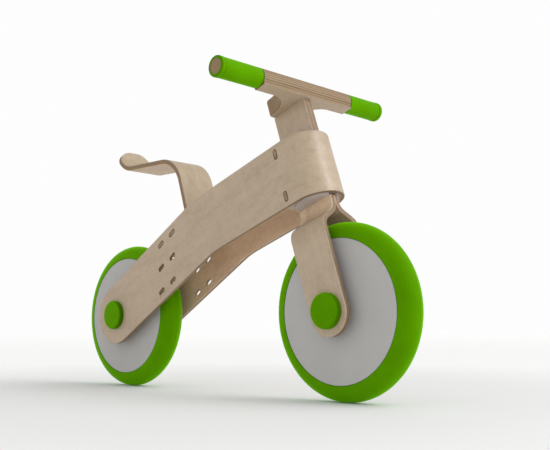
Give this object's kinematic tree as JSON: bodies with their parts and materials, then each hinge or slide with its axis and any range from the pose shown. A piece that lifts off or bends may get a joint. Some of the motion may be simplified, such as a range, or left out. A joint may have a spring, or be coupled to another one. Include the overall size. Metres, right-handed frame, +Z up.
{
  "type": "balance bike",
  "caption": "Child's balance bike with a bent plywood frame and fork, T handlebar, flat disc wheels on ball bearings, green tyres, grips and hub caps, and a bent plywood seat.",
  "frame": {"origin": "on the ground, midway between the axles, on the centre plane", "axes": "+X forward, +Y to the rider's left, +Z up"},
  "size_m": [0.8999, 0.42, 0.5661],
  "materials": {
    "birch_ply": "clear matt lacquer on birch veneer, ply lines on the edges",
    "stacked_ply": "clear matt lacquer, ply lines along the bar",
    "key_wood": "end grain, oiled",
    "green_tyre": "satin moulded",
    "green_cap": "semi-gloss",
    "green_grip": "satin",
    "grey_disc": "fine matt texture",
    "grey_core": "moulded, unpainted",
    "grey_bearing": "smooth matt",
    "bearing_steel": "ground",
    "plated_steel": "zinc plated",
    "spacer_aluminium": "turned"
  },
  "bodies": {
    "frame": {"frame_band": "birch_ply", "head_bearing_front_lower": "grey_bearing", "head_bearing_rear_lower": "stacked_ply", "head_bearing_front_upper": "grey_bearing", "head_bearing_rear_upper": "stacked_ply", "head_keys": "key_wood", "seat": "birch_ply", "seat_block": "birch_ply", "seat_keys": "key_wood", "seat_screws": "plated_steel", "rear_axle": "plated_steel", "rear_sleeve": "plated_steel", "rear_spacers": "spacer_aluminium", "rear_washers": "plated_steel", "rear_nuts": "plated_steel", "rear_cap_left": "green_cap", "rear_cap_right": "green_cap"},
    "fork": {"fork_strip_left": "birch_ply", "fork_strip_right": "birch_ply", "steerer_segment_left": "grey_bearing", "steerer_segment_right": "grey_bearing", "steerer_bolts": "plated_steel", "steerer_nuts": "plated_steel", "handlebar": "stacked_ply", "grip_left": "green_grip", "grip_right": "green_grip", "front_axle": "plated_steel", "front_sleeve": "plated_steel", "front_spacers": "spacer_aluminium", "front_washers": "plated_steel", "front_nuts": "plated_steel", "front_cap_left": "green_cap", "front_cap_right": "green_cap"},
    "front_wheel": {"front_tyre": "green_tyre", "front_rim": "grey_core", "front_disc_left": "grey_disc", "front_disc_right": "grey_disc", "front_hub": "grey_core", "front_bearing_left": "bearing_steel", "front_bearing_right": "bearing_steel", "front_disc_screws": "plated_steel"},
    "rear_wheel": {"rear_tyre": "green_tyre", "rear_rim": "grey_core", "rear_disc_left": "grey_disc", "rear_disc_right": "grey_disc", "rear_hub": "grey_core", "rear_bearing_left": "bearing_steel", "rear_bearing_right": "bearing_steel", "rear_disc_screws": "plated_steel"}
  },
  "joints": [
    {"name": "steer", "type": "hinge", "parent": "frame", "child": "fork", "pos_m": [0.3, 0, 0.15], "axis": [-0.319, 0, 0.9478], "range_deg": [-45, 45]},
    {"name": "front_spin", "type": "hinge", "parent": "fork", "child": "front_wheel", "pos_m": [0.3, 0, 0.15], "axis": [0, 1, 0], "continuous": true},
    {"name": "rear_spin", "type": "hinge", "parent": "frame", "child": "rear_wheel", "pos_m": [-0.3, 0, 0.15], "axis": [0, 1, 0], "continuous": true}
  ]
}
